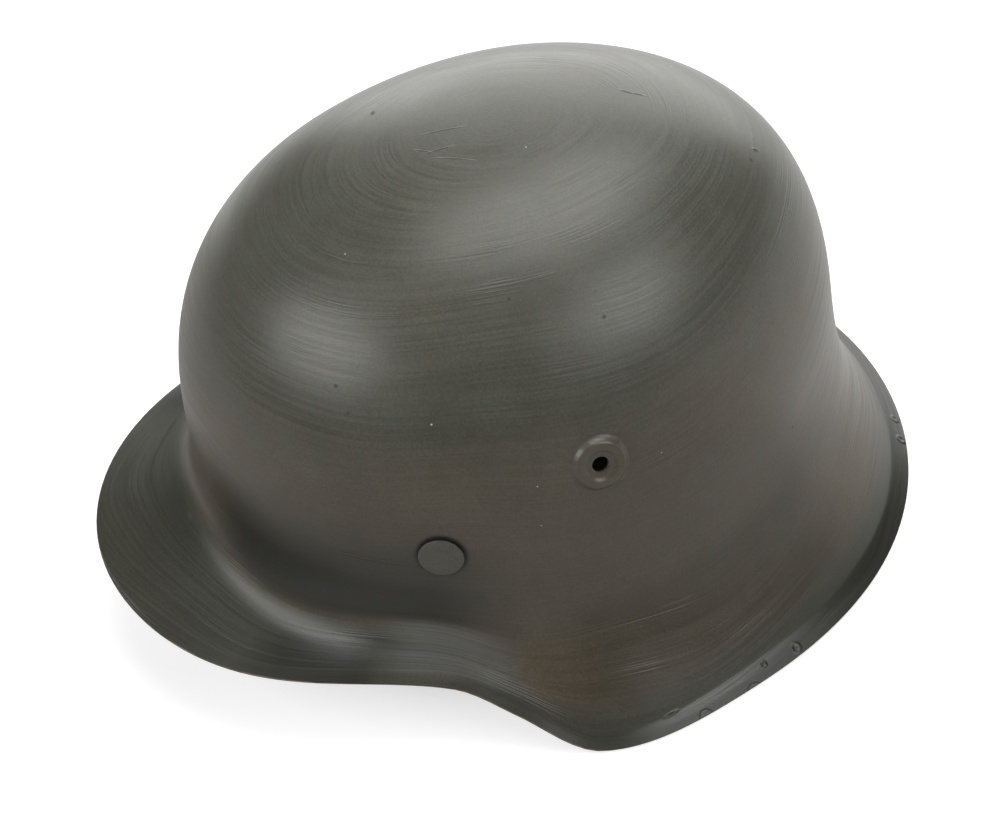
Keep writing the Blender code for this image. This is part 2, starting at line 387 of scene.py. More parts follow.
def mesh_object(name: str, points: Array, faces: Array) -> Piece:
    """Make a piece from points and faces.

    Args:
        name: Name of the piece.
        points: Array of points, one a row.
        faces: Array of quads as point numbers; a triangle repeats its last number.

    Returns:
        The object, at the origin.
    """
    mesh = bpy.data.meshes.new(name)
    triangles = faces[:, 2] == faces[:, 3]
    sizes = np.where(triangles, 3, 4).astype(np.int32)
    keep = np.ones(faces.shape, bool)
    keep[triangles, 3] = False
    corners = faces[keep].astype(np.int32)
    mesh.vertices.add(len(points))
    mesh.vertices.foreach_set("co", points.astype(np.float32).ravel())
    mesh.loops.add(len(corners))
    mesh.loops.foreach_set("vertex_index", corners)
    mesh.polygons.add(len(faces))
    mesh.polygons.foreach_set("loop_start", np.r_[0, np.cumsum(sizes)[:-1]].astype(np.int32))
    mesh.update(calc_edges=True)
    mesh.validate()
    piece = bpy.data.objects.new(name, mesh)
    bpy.context.scene.collection.objects.link(piece)
    return piece


def grid_faces(rows: int, columns: int) -> Array:
    """Quads of a grid of points numbered row by row, whose last column joins the first.

    Args:
        rows: Number of rows of points.
        columns: Number of points in a row.

    Returns:
        Array of shape (rows - 1, columns, 4), each quad going down, then across.
    """
    row = np.arange(rows - 1)[:, None]
    column = np.arange(columns)[None, :]
    across = (column + 1) % columns
    return as_rows(row * columns + column, (row + 1) * columns + column,
                   (row + 1) * columns + across, row * columns + across)


def fan_faces(tip: int, ring: Array, outward: bool) -> Array:
    """Triangles from a tip to a closed ring of points, as quads that repeat their last number."""
    after = np.roll(ring, -1)
    first, second = (ring, after) if outward else (after, ring)
    return as_rows(np.full(len(ring), tip), first, second, second)


def capped_tube(rings: Array, tips: list[Triple]) -> tuple[Array, Array]:
    """Closed skin of rings of points joined by quads, with a fan of triangles at each end.

    Args:
        rings: Array of shape (rings, points in a ring, 3), from the first tip to the last.
        tips: The two points at the ends.

    Returns:
        Points, one a row, and faces, four point numbers each.
    """
    rows, columns = rings.shape[:2]
    first = np.arange(columns)
    faces = [grid_faces(rows, columns).reshape(-1, 4), fan_faces(rows * columns, first, True),
             fan_faces(rows * columns + 1, (rows - 1) * columns + first, False)]
    return np.concatenate([rings.reshape(-1, 3), tips]), np.concatenate(faces)


def set_attribute(piece: Piece, name: str, values: Array) -> None:
    """Store one vector a point on a piece, under the name that its material reads."""
    attribute = piece.data.attributes.new(name, "FLOAT_VECTOR", "POINT")
    attribute.data.foreach_set("vector", values.astype(np.float32).ravel())


@dataclass(frozen=True)
class PaintZone:
    """Part of the shell whose colour changes: a strength times smooth steps.

    The steps' starts and ends are falls down the wall, and degrees from the visor.
    """

    strength: float
    falls: tuple[Span, ...]
    turns: tuple[Span, ...] = ()

    def mask(self, fall: Array, turn: Array) -> Array:
        """Product of the strength and the steps at each point."""
        steps = [smooth_step(*ends, fall) for ends in self.falls]
        steps += [smooth_step(*ends, turn) for ends in self.turns]
        return self.strength * np.prod(steps, axis=0)


# Darker colour. In the fold above the visor (foot of the wall) and at the skirt's edge by the ear
# it is painted shade; on the visor, its sides and the neck guard the colour is just darker.
DARK_ZONES = {
    "visor": PaintZone(0.50, ((1.42, 1.60),), ((58, 46),)),
    "side of the visor": PaintZone(0.95, ((1.58, 1.68),), ((20, 34), (52, 44))),
    "foot of the wall": PaintZone(0.95, ((0.82, 1.08), (1.44, 1.30)), ((4, 20), (76, 54))),
    "neck guard": PaintZone(0.35, ((1.10, 1.34),), ((74, 90), (150, 128))),
    "edge of the skirt": PaintZone(0.46, ((1.76, 2.0),), ((58, 70),)),
}
# Painted highlight: a lighter, streaked colour on the flange between the visor and the ear.
PAINTED_HIGHLIGHT_ZONE = PaintZone(1.0, ((1.32, 1.46), (1.98, 1.90)), ((46, 54), (74, 63)))
COOL_ZONES = {
    "visor": PaintZone(0.85, ((1.34, 1.50),), ((64, 50),)),
    "edge of the skirt": PaintZone(0.80, ((1.76, 2.0),)),
}


@dataclass
class Shell:
    """The pressed shell, as one closed skin: outer face, rim, inner face and the vents' holes.

    The painted shade on its lip and its bare edge each start at one fall and are full at
    another. The lip's painted shade is darkest where the lip is widest. The edge is most bare at
    the front and least behind, and changes between two angles in degrees.
    """

    form: PressedForm
    coarse_step: float = np.radians(1.75)
    skirt_rows: int = 26
    lip_rows: int = 8
    rim_rows: int = 5
    crown_step: float = 2.6 * MM
    rim_bulge: float = 0.08 * MM
    table_size: int = 4000
    sharp_angle: float = np.radians(50)
    # Strength of the painted shade on the lip where the lip is widest.
    lip_shade: float = 0.92
    lip_span: Span = (1.96, 2.2)
    widest_lip: float = 6.5 * MM
    edge_span: Span = (2.7, 3.0)
    bare_span: Span = (100, 78)
    least_bare: float = 0.2
    vents: tuple[Punch, ...] = tuple(Punch(np.radians(turn), 95.0 * MM) for turn in (91.8, -91.8))

    def angles(self) -> Array:
        """Angles of the columns: even steps, and finer ones across each vent's patch.

        A patch takes 2 x cells columns over 2 x patch_radius of wall, so its middle is a column.
        """
        pieces = []
        start = -np.pi
        for vent in sorted(self.vents, key=lambda one: one.angle):
            wall = float(self.form.column("waist_radius", np.array(vent.angle)))
            half = vent.patch_radius / wall
            count = int(np.ceil((vent.angle - half - start) / self.coarse_step))
            pieces.append(np.linspace(start, vent.angle - half, count, endpoint=False))
            end = vent.angle + half
            pieces.append(np.linspace(vent.angle - half, end, 2 * vent.cells, endpoint=False))
            start = end
        count = int(np.ceil((np.pi - start) / self.coarse_step))
        pieces.append(np.linspace(start, np.pi, count, endpoint=False))
        return np.concatenate(pieces)

    def falls(self) -> Array:
        """Falls of the rows: even steps of wall length, and finer ones across the vents' band."""
        vent = self.vents[0]
        table = np.linspace(0.0, 1.0, self.table_size)
        path = self.form.crown(np.full(table.shape, vent.angle), table)
        length = np.r_[0.0, np.cumsum(np.linalg.norm(np.diff(path, axis=0), axis=1))]
        middle = float(np.interp(self.form.fall_at_height(vent.angle, vent.height), table, length))
        top, bottom = middle - vent.patch_radius, middle + vent.patch_radius
        above = np.linspace(0.0, top, int(top / self.crown_step), endpoint=False)[1:]
        band = np.linspace(top, bottom, 2 * vent.cells, endpoint=False)
        below = np.linspace(bottom, length[-1], int((length[-1] - bottom) / self.crown_step) + 1)
        crown = np.interp(np.concatenate([above, band, below]), length, table)
        skirt = 1.0 + np.arange(1, self.skirt_rows + 1) / self.skirt_rows
        lip = 2.0 + np.arange(1, self.lip_rows + 1) / self.lip_rows
        return np.concatenate([crown, skirt, lip])

    def bend_to_hole(self, punch: Punch, angle: Array, fall: Array) -> tuple[int, int]:
        """Bend the grid round a hole, in place.

        The squares of the patch go to circles of the radii given by the punch. Newton's steps
        find the angle and fall whose point on the wall has the wanted place along and up it.

        Args:
            punch: The hole.
            angle: Angles of the whole grid, changed in place.
            fall: Falls of the whole grid, changed in place.

        Returns:
            Row and column of the patch's middle.
        """
        middle = self.form.fall_at_height(punch.angle, punch.height)
        column, row = nearest(angle[0], punch.angle), nearest(fall[:, 0], middle)
        n, k = punch.cells, punch.hole_cells
        patch = np.s_[row - n:row + n + 1, column - n:column + n + 1]
        wall = wall_frame(self.form, punch.angle, middle)
        i, j = np.meshgrid(np.arange(-n, n + 1.0), np.arange(-n, n + 1.0), indexing="ij")
        ring = np.maximum(np.abs(i), np.abs(j))
        safe = np.where(ring > 0, ring, 1.0)
        sideways = np.abs(j) >= np.abs(i)
        turn = np.where(sideways, np.pi / 4 * (-i / safe), np.pi / 2 - np.pi / 4 * (j / safe))
        turn = np.where(sideways & (j < 0), np.pi + np.pi / 4 * (i / safe), turn)
        turn = np.where(~sideways & (i > 0), -np.pi / 2 + np.pi / 4 * (j / safe), turn)
        share = np.clip((ring - k) / (n - k), 0.0, 1.0)
        radius = np.where(ring < k, punch.hole_radius * ring / k,
                          punch.hole_radius + (punch.patch_radius - punch.hole_radius) * share)
        circle = as_rows(radius * np.cos(turn), radius * np.sin(turn))
        now = wall.to_local(self.form.point(angle[patch], fall[patch]))[..., :2]
        keep = smooth_step(*punch.bend_span, share)[..., None]
        wanted = keep * circle + (1 - keep) * now
        for _ in range(punch.newton_steps):
            by_angle, by_fall = self.form.tangents(angle[patch], fall[patch])
            a, b = by_angle @ wall.along, by_fall @ wall.along
            c, d = by_angle @ wall.up, by_fall @ wall.up
            miss = wanted - wall.to_local(self.form.point(angle[patch], fall[patch]))[..., :2]
            area = a * d - b * c
            angle[patch] += (miss[..., 0] * d - miss[..., 1] * b) / area
            fall[patch] += (miss[..., 1] * a - miss[..., 0] * c) / area
        return row, column

    def raise_stamp(self, punch: Punch, points: Array, outer: Array) -> None:
        """Push a face outwards by the stamped ring's height, in place.

        Args:
            punch: The vent.
            points: Points of the outer or inner face, changed in place.
            outer: The outer face's points, whose distance from the vent's axis sets the height.
        """
        fall = self.form.fall_at_height(punch.angle, punch.height)
        wall = wall_frame(self.form, punch.angle, fall)
        local = wall.to_local(outer)
        radius = np.hypot(local[..., 0], local[..., 1])
        away = local[..., 2]
        near = (np.abs(away) < 3 * punch.patch_radius) & (away > -punch.patch_radius)
        points += np.where(near, punch.stamp(radius), 0.0)[..., None] * wall.out

    def build(self) -> Piece:
        """Make the shell's mesh with the attributes that its paint reads.

        The grid's rows go down the outer face, round the rim on a half superellipse and up the
        inner face, which lies one sheet thickness inside the outer one along its normals.

        Returns:
            The shell as one closed piece.
        """
        form = self.form
        angle, fall = (a.copy() for a in np.meshgrid(self.angles(), self.falls()))
        middles = [self.bend_to_hole(vent, angle, fall) for vent in self.vents]
        outer = form.point(angle, fall)
        normal = form.normal(angle, fall)
        inner = outer - form.sheet * normal
        flat = outer.copy()
        for vent in self.vents:
            self.raise_stamp(vent, inner, flat)
            self.raise_stamp(vent, outer, flat)
        edge = self.rim(outer[-1], inner[-1], fall[-1], angle[-1])
        stack = np.concatenate([outer, edge, inner[::-1]])
        stack[..., 2] = np.maximum(stack[..., 2], 0.0)
        rows, columns = stack.shape[:2]
        outer_top = form.point(np.array(0.0), np.array(0.0))
        inner_top = outer_top - np.array([0.0, 0.0, form.sheet])
        points = np.concatenate([stack.reshape(-1, 3), [outer_top, inner_top]])
        faces = self.faces(rows, columns, middles, rows * columns)
        piece = mesh_object("shell_skin", points, faces)
        drop = np.concatenate([[np.zeros(columns)], np.cumsum(
            np.linalg.norm(np.diff(flat, axis=0), axis=-1), axis=0)])
        self.store_zones(piece, angle, fall, drop, len(edge))
        piece.data.shade_smooth()
        piece.data.set_sharp_from_angle(angle=self.sharp_angle)
        log.info("%s: %d points, %d faces", piece.name, len(points), len(faces))
        return piece

    def rim(self, outer: Array, inner: Array, fall: Array, angle: Array) -> Array:
        """Rows of points round the rim's edge.

        From the outer face's last row to the inner one's, offset along the sheet by the bulge
        times 1 - |2s - 1|^4, where s runs from 0 to 1 through the sheet.
        """
        _, by_fall = self.form.tangents(angle, fall)
        outwards = unit(by_fall)
        s = (np.arange(1, self.rim_rows + 1) / (self.rim_rows + 1))[:, None, None]
        bulge = self.rim_bulge * (1 - np.abs(2 * s - 1) ** 4)
        return outer + (inner - outer) * s + bulge * outwards

    def faces(self, rows: int, columns: int, middles: list[tuple[int, int]], tip: int) -> Array:
        """Faces of the whole skin, with the vents' cells left out and their holes' walls put in.

        Args:
            rows: Rows of the stacked grid.
            columns: Its columns.
            middles: Row and column of each vent's middle on the outer face.
            tip: Number of the outer top point; the inner one follows it.

        Returns:
            Array of faces, four point numbers each.
        """
        grid = grid_faces(rows, columns)
        keep = np.ones(grid.shape[:2], bool)
        walls = []
        for (row, column), vent in zip(middles, self.vents):
            k = vent.hole_cells
            span = np.arange(-k, k)
            across = slice(column - k, column + k)
            keep[row - k:row + k, across] = False
            keep[rows - 1 - row - k:rows - 1 - row + k, across] = False
            i = np.r_[span * 0 - k, span, span * 0 + k, -span]
            j = np.r_[span, span * 0 + k, -span, span * 0 - k]
            out = (row + i) * columns + column + j
            back = (rows - 1 - row - i) * columns + column + j
            walls.append(as_rows(out, np.roll(out, -1), np.roll(back, -1), back))
        first = np.arange(columns)
        last = (rows - 1) * columns + first
        tops = [fan_faces(tip, first, True), fan_faces(tip + 1, last, False)]
        return np.concatenate([grid[keep], *walls, *tops])

    def paint_zones(self, angle: Array, fall: Array, lip: Array) -> tuple[Array, ...]:
        """From 0 to 1: darker colour, partly painted shade; painted highlight; less brown."""
        turn = np.degrees(np.abs((angle + np.pi) % (2 * np.pi) - np.pi))
        dark = [zone.mask(fall, turn) for zone in DARK_ZONES.values()]
        cool = [zone.mask(fall, turn) for zone in COOL_ZONES.values()]
        shade = np.maximum.reduce([*dark, self.lip_shade * lip])
        return shade, PAINTED_HIGHLIGHT_ZONE.mask(fall, turn), np.maximum.reduce([*cool, lip])

    def store_zones(self, piece: Piece, angle: Array, fall: Array,
                    drop: Array, rim_rows: int) -> None:
        """Store what the paint reads at each point.

        lay holds the sine and cosine of the angle and the length of wall from the top, averaged
        round the shell. zone holds how near the point is to the bare edge, which shows mostly at
        the front, how far it is on the lip and whether it is inside. The attribute of shading and
        tint holds how much darker the colour is, which is painted shade in the fold above the
        visor, at the skirt's edge and on the lip, how much of the painted highlight it has and how
        much less brown the paint is.

        Args:
            piece: The shell.
            angle: Angles of the outer face's grid.
            fall: Falls of the same grid.
            drop: Length of wall from the top to each of its points.
            rim_rows: Number of rows round the rim's edge.
        """
        edge = smooth_step(*self.edge_span, fall)
        front = smooth_step(*self.bare_span, np.degrees(np.abs(angle)))
        bare = self.least_bare + (1 - self.least_bare) * front
        width = self.form.column("lip_width", angle) / self.widest_lip
        lip = smooth_step(*self.lip_span, fall) * width

        def stacked(values: Array, between: float | None = None) -> Array:
            """Values for the outer face, the rim and the inner face."""
            last = np.repeat(values[-1:], rim_rows, axis=0)
            middle = last if between is None else np.full_like(last, between)
            return np.concatenate([values, middle, values[::-1]])

        mean_drop = np.broadcast_to(drop.mean(axis=1, keepdims=True), drop.shape)
        lay = as_rows(stacked(np.sin(angle)), stacked(-np.cos(angle)), stacked(mean_drop))
        outside = np.zeros((len(fall) + rim_rows, fall.shape[1]))
        inside = np.concatenate([outside, np.ones_like(fall)])
        zone = as_rows(stacked(edge, 1.0) * stacked(bare), stacked(lip), inside)
        shading_and_tint = as_rows(*(stacked(mask) for mask in self.paint_zones(angle, fall, lip)))
        for name, values in (("lay", lay), ("shading_and_tint", shading_and_tint), ("zone", zone)):
            tops = [[0.0, 0.0, 0.0], [0.0, 0.0, float(name == "zone")]]
            set_attribute(piece, name, np.concatenate([values.reshape(-1, 3), tops]))


@dataclass
class SplitRivet:
    """A split rivet: domed head outside, post through the wall and two legs bent over inside.

    The dome spans a share of the head's radius, the tuck's points are shares of that radius with
    heights, the post ends in a chamfer, and a leg has a bend, a straight part from its start to
    its reach, and a tip that narrows until it is nearly closed. Side rows are the profile's rows
    over which the head's side is shaded.
    """

    form: PressedForm
    side: Side
    angle: float = np.radians(59.7)
    height: float = 71.6 * MM
    gap: float = 0.3 * MM
    head_radius: float = 7.3 * MM
    head_edge: float = 0.8 * MM
    head_centre: float = 1.5 * MM
    dome_span: Span = (0.02, 0.93)
    dome_power: float = 2.2
    dome_rows: int = 14
    corner_rows: int = 6
    corner_drop: float = 0.35 * MM
    tuck: tuple[Span, ...] = ((1.0, 0.25 * MM), (0.975, 0.05 * MM), (0.94, 0.0), (0.5, 0.0))
    post_radius: float = 2.4 * MM
    chamfer: float = 0.3 * MM
    leg_start: float = 2.6 * MM
    leg_reach: float = 12.0 * MM
    leg_width: float = 4.0 * MM
    leg_thickness: float = 1.0 * MM
    leg_depth: float = 2.7 * MM
    leg_bend: float = 1.2 * MM
    leg_power: float = 5.0
    tip_length: float = 2.2 * MM
    tip_closed: float = 0.97
    bend_rows: int = 9
    leg_rows: int = 14
    leg_around: int = 20
    around: int = 96
    side_rows: Span = (16.0, 19.0)
    sharp_angle: float = np.radians(40)

    def frame(self) -> Frame3:
        """The wall's frame under the rivet."""
        angle = {Side.LEFT: self.angle, Side.RIGHT: -self.angle, Side.REAR: np.pi}[self.side]
        return wall_frame(self.form, angle, min(self.form.fall_at_height(angle, self.height), 1.0))

    def head_profile(self) -> Array:
        """Radius and height of the head and post from the top to the post's end.

        The top is the arc h(r) = centre - (centre - edge) (r / R)^power, rounded into the rim by a
        quarter of an ellipse, and the rim tucks in to a flat underside.
        """
        r = np.linspace(*self.dome_span, self.dome_rows) * self.head_radius
        sag = (self.head_centre - self.head_edge) * (r / self.head_radius) ** self.dome_power
        top = self.head_centre - sag
        turn = np.linspace(0.0, np.pi / 2, self.corner_rows + 1)[1:]
        corner = top[-1] - self.corner_drop
        rim_r = r[-1] + (self.head_radius - r[-1]) * np.sin(turn)
        rim_h = corner + (top[-1] - corner) * np.cos(turn)
        under = np.array(self.tuck) * (self.head_radius, 1.0)
        profile = np.concatenate([as_rows(r, top), as_rows(rim_r, rim_h), under])
        profile[:, 1] += self.gap
        end = -(self.leg_depth + self.leg_thickness)
        post = [[self.post_radius, self.gap], [self.post_radius, end + self.chamfer],
                [self.post_radius - self.chamfer, end], [self.chamfer, end]]
        return np.concatenate([profile, post])

    def leg(self, sign: int) -> tuple[Array, Array]:
        """Points and faces of one leg.

        Its section, a rounded rectangle |y|^5 + |z|^5 = 1, runs along a path that comes down in
        the post, turns by a quarter circle and lies along the wall, and narrows to a round end.
        """
        bend, straight = self.leg_bend, self.leg_rows
        middle = -(self.leg_depth + self.leg_thickness / 2)
        turn = np.linspace(0.0, np.pi / 2, self.bend_rows)
        x = np.r_[bend * (1 - np.cos(turn)), np.linspace(self.leg_start, self.leg_reach, straight)]
        z = np.r_[middle + bend * (1 - np.sin(turn)), np.full(straight, middle)]
        lean = np.r_[np.pi / 2 - turn, np.zeros(straight)]
        round_end = smooth_step(self.leg_reach - self.tip_length, self.leg_reach, x)
        narrow = np.sqrt(np.clip(1 - round_end**2 * self.tip_closed, 0, 1))
        ring = np.linspace(0, 2 * np.pi, self.leg_around, endpoint=False)
        power = 2 / self.leg_power
        side = np.sign(np.cos(ring)) * np.abs(np.cos(ring)) ** power * self.leg_width / 2
        rise = np.sign(np.sin(ring)) * np.abs(np.sin(ring)) ** power * self.leg_thickness / 2
        px = x[:, None] + rise * np.sin(lean)[:, None]
        pz = z[:, None] + rise * np.cos(lean)[:, None]
        py = side * narrow[:, None] * sign
        return capped_tube(as_rows(px * sign, py, pz),
                           [(x[0] * sign, 0.0, z[0]), (x[-1] * sign, 0.0, z[-1])])

    def build(self) -> Piece:
        """Turn the head and post, add the legs and put them on the wall.

        Returns:
            The rivet as one piece.
        """
        profile = self.head_profile()
        turn = np.linspace(0, 2 * np.pi, self.around, endpoint=False)
        radius, height = profile[:, :1], profile[:, 1:]
        rings = as_rows(radius * np.cos(turn), radius * np.sin(turn), height)
        tips = [(0.0, 0.0, self.gap + self.head_centre), (0.0, 0.0, profile[-1, 1])]
        parts = [capped_tube(rings, tips), self.leg(1), self.leg(-1)]
        starts = np.cumsum([0] + [len(points) for points, _ in parts[:-1]])
        faces = np.concatenate([part[1] + start for part, start in zip(parts, starts)])
        world = self.frame().to_world(np.concatenate([points for points, _ in parts]))
        name = f"rivet_{self.side.name.lower()}_skin"
        piece = mesh_object(name, world, faces)
        # Painted shade on the head's side, stored as the zone that the rivet's paint reads.
        side = np.zeros(len(world))
        rows = np.arange(self.dome_rows + self.corner_rows + 1.0)
        shaded = np.repeat(smooth_step(*self.side_rows, rows), self.around)
        side[:len(shaded)] = shaded
        set_attribute(piece, "zone", as_rows(side, 0.0, 0.0))
        piece.data.shade_smooth()
        piece.data.set_sharp_from_angle(angle=self.sharp_angle)
        log.info("%s: %d points", name, len(world))
        return piece


class Graph:
    """Adds and joins the nodes of one node tree."""

    def __init__(self, tree: Tree) -> None:
        """Take the tree to work on."""
        self.tree = tree

    def add(self, kind: str, values: dict | None = None, **settings: object) -> bpy.types.Node:
        """Add a node.

        Args:
            kind: Type of the node, without its ShaderNode prefix.
            values: Input's name or number to a constant, or to the socket that feeds it.
            settings: Properties of the node.

        Returns:
            The node.
        """
        node = self.tree.nodes.new(f"ShaderNode{kind}")
        for name, value in settings.items():
            setattr(node, name, value)
        for name, value in (values or {}).items():
            if isinstance(value, Socket):
                self.tree.links.new(value, node.inputs[name])
            else:
                node.inputs[name].default_value = value
        return node

    def math(self, operation: str, *values: object) -> Socket:
        """Result of a Math node on constants or sockets."""
        return self.add("Math", dict(enumerate(values)), operation=operation).outputs[0]

    def fold(self, operation: str, *values: object) -> Socket:
        """Result of Math nodes that take in the values one after the other."""
        result, *others = values
        for other in others:
            result = self.math(operation, result, other)
        return result

    def times(self, *values: object) -> Socket:
        """Product of constants or sockets."""
        return self.fold("MULTIPLY", *values)

    def vector_math(self, operation: str, *values: object) -> bpy.types.Node:
        """Vector Math node on constants or sockets."""
        return self.add("VectorMath", dict(enumerate(values)), operation=operation)

    def ramp(self, value: object, low: float, high: float, bottom: float = 0.0,
             top: float = 1.0) -> Socket:
        """Smooth step from bottom at low to top at high; low may be the larger one."""
        if low > high:
            low, high, bottom, top = high, low, top, bottom
        node = self.add("MapRange", {"Value": value, "From Min": low, "From Max": high,
                                     "To Min": bottom, "To Max": top})
        node.interpolation_type = "SMOOTHSTEP"
        return node.outputs["Result"]

    def noise(self, vector: object, scale: float, detail: float = 2.0,
              roughness: float = 0.5) -> Socket:
        """Value of a Noise Texture, about 0.5 in the middle."""
        values = {"Vector": vector, "Scale": scale, "Detail": detail, "Roughness": roughness}
        return self.add("TexNoise", values).outputs["Fac"]

    def place(self) -> Socket:
        """The piece's own Object coordinates."""
        return self.add("TexCoord").outputs["Object"]

    def attribute(self, name: str) -> tuple[Socket, ...]:
        """The three parts of a vector stored on the piece's points."""
        stored = self.add("Attribute", attribute_name=name).outputs["Vector"]
        return tuple(self.add("SeparateXYZ", {0: stored}).outputs)

    def mix(self, share: object, first: object, second: object) -> Socket:
        """Mix of two colours, which are sockets or triples."""
        node = self.add("Mix", data_type="RGBA")
        for name, value in (("Factor", share), ("A", first), ("B", second)):
            socket = next(one for one in node.inputs if one.name == name and one.enabled)
            if isinstance(value, Socket):
                self.tree.links.new(value, socket)
            else:
                socket.default_value = (*value, 1.0)
        return next(one for one in node.outputs if one.enabled)

    def join(self, node: bpy.types.Node, **sockets: Socket) -> None:
        """Feed a node's inputs, by name with spaces for underscores."""
        for name, socket in sockets.items():
            self.tree.links.new(socket, node.inputs[name.replace("_", " ")])


def node_group(name: str, *outputs: str) -> tuple[Tree, Graph, bpy.types.Node]:
    """Start a shader node group.

    Args:
        name: Name of the group.
        outputs: Names of its outputs, which are all floats.

    Returns:
        The group, a graph on it and its output node.
    """
    tree = bpy.data.node_groups.new(name, "ShaderNodeTree")
    for output in outputs:
        tree.interface.new_socket(name=output, in_out="OUTPUT", socket_type="NodeSocketFloat")
    return tree, Graph(tree), tree.nodes.new("NodeGroupOutput")


@dataclass(frozen=True)
class BrushStrokes:
    """Relief that a brush left in the paint: bundles of long, fine, crisp lines round the crown.

    Lengths are in metres: one line's width and depth, how far the lines wander and over what
    length, a bundle's width, the patches' size, and how far from the top the bundles start and
    are full. Around is how often the lines change in one radian, faint is how much of them shows
    between the bundles, and the other spans are where a noise goes from nothing to full.
    """

    width: float = 0.85 * MM
    depth: float = 0.060 * MM
    wander: float = 30 * MM
    wander_length: float = 112.5 * MM
    bundle: float = 9 * MM
    patch: float = 45 * MM
    top_span: Span = (18 * MM, 45 * MM)
    around: float = 1.1
    faint: float = 0.08
    line_span: Span = (0.40, 0.60)
    bundle_span: Span = (0.48, 0.66)
    patch_span: Span = (0.40, 0.62)

    def group(self) -> Tree:
        """Node group with the strokes' Height in metres and their Lines from 0 to 1."""
        tree, graph, output = node_group("brush_strokes", "Height", "Lines")
        place = graph.place()
        across, ahead, drop = graph.attribute("lay")
        drift = graph.math("SUBTRACT", graph.noise(place, 1 / self.wander_length, 1.0), 0.5)
        moved = graph.math("MULTIPLY_ADD", drift, self.wander, drop)
        parts = (graph.times(across, self.around), graph.times(ahead, self.around),
                 graph.times(moved, 1 / self.width))
        lay = graph.add("CombineXYZ", dict(enumerate(parts))).outputs[0]
        lines = graph.noise(lay, 1.0, 1.0, 0.55)
        band = graph.add("Mapping", {"Vector": lay, "Location": (4.0, 7.0, 2.0),
                                     "Scale": (2.0, 2.0, self.width / self.bundle)}).outputs[0]
        bundles = graph.ramp(graph.noise(band, 1.0, 1.0), *self.bundle_span)
        patches = graph.ramp(graph.noise(place, 1 / self.patch), *self.patch_span)
        shown = graph.times(bundles, patches, graph.ramp(drop, *self.top_span))
        shown = graph.math("MULTIPLY_ADD", shown, 1.0 - self.faint, self.faint)
        height = graph.times(graph.ramp(lines, *self.line_span), shown, self.depth)
        graph.join(output, Height=height, Lines=lines)
        return tree


@dataclass(frozen=True)
class PaintDrift:
    """Change of the paint's colour over the shell, its grain, and specks of dust and dark dots.

    Lengths are in metres. The paint is browner in a band round the wall, given by the heights
    from which it is full at both ends. Its warmth is the least, plus the band's share, plus a slow
    noise and a fine mottle about their middles, and never more than the most. Specks lie in some
    of the cells of a Voronoi texture: the light ones in one share of the cells, the dark ones in
    another share of larger cells.
    """

    drift: float = 60 * MM
    tone: float = 24 * MM
    mottle: float = 5 * MM
    mottling: float = 0.9
    grain: float = 0.8 * MM
    brown_from: Span = (2 * MM, 14 * MM)
    brown_to: Span = (126 * MM, 88 * MM)
    band: float = 0.78
    least: float = 0.08
    most: float = 0.88
    speck: float = 0.28 * MM
    light_cell: float = 17 * MM
    light_share: float = 0.30
    dark_cell: float = 27.2 * MM
    dark_share: float = 0.5

    def group(self) -> Tree:
        """Node group with Warmth, Tone and Grain from 0 to 1, and masks of two kinds of specks."""
        tree, graph, output = node_group("paint_drift", "Warmth", "Tone", "Grain", "Light Specks",
                                         "Dark Specks")
        place = graph.place()
        apart = graph.vector_math("ADD", place, (0.4, 0.2, 0.6)).outputs[0]
        height = graph.add("SeparateXYZ", {0: place}).outputs[2]
        band = graph.times(graph.ramp(height, *self.brown_from), graph.ramp(height, *self.brown_to))
        cloud = graph.noise(place, 1 / self.drift, 3.0, 0.55)
        mottle = graph.noise(place, 1 / self.mottle)
        slow = graph.math("MULTIPLY_ADD", mottle, self.mottling, cloud)
        warmth = graph.math("ADD", graph.math("SUBTRACT", slow, (1 + self.mottling) / 2),
                            graph.math("MULTIPLY_ADD", band, self.band, self.least))
        warmth = graph.fold("MAXIMUM", graph.math("MINIMUM", warmth, self.most), 0.0)
        graph.join(output, Warmth=warmth, Tone=graph.noise(apart, 1 / self.tone, 4.0, 0.6),
                   Grain=graph.noise(place, 1 / self.grain, 3.0, 0.65),
                   Light_Specks=self.specks(graph, place, self.light_cell, self.light_share),
                   Dark_Specks=self.specks(graph, apart, self.dark_cell, self.dark_share))
        return tree

    def specks(self, graph: Graph, vector: Socket, cell: float, share: float) -> Socket:
        """Mask of round specks of unlike sizes, one in a share of the cells."""
        cells = graph.add("TexVoronoi", {"Vector": vector, "Scale": 1 / cell})
        red = graph.add("SeparateColor", {0: cells.outputs["Color"]}).outputs[0]
        size = graph.ramp(red, 1 - share, 1.0, 0.0, self.speck / cell)
        away = graph.math("SUBTRACT", size, cells.outputs["Distance"])
        return graph.ramp(away, 0.0, 0.3 * self.speck / cell)


class MarkKind(Enum):
    """What a mark does to the paint."""

    CHIP = "thin dark outline round paint that is a little sunk"
    CRATER = "small raised ring"
    LIGHT_DOT = "speck of dust"
    DARK_DOT = "speck of soot"
    SCRATCH = "dark line with a raised side"
    # A painted highlight, streaked along the patch.
    SHEEN = "patch of lighter, finely streaked paint"


@dataclass(frozen=True)
class Mark:
    """One mark on the wearer's left side: middle and half sizes in mm, and its turn about +Z in
    degrees."""

    middle: Triple
    sizes: Triple
    turn: float = 0.0


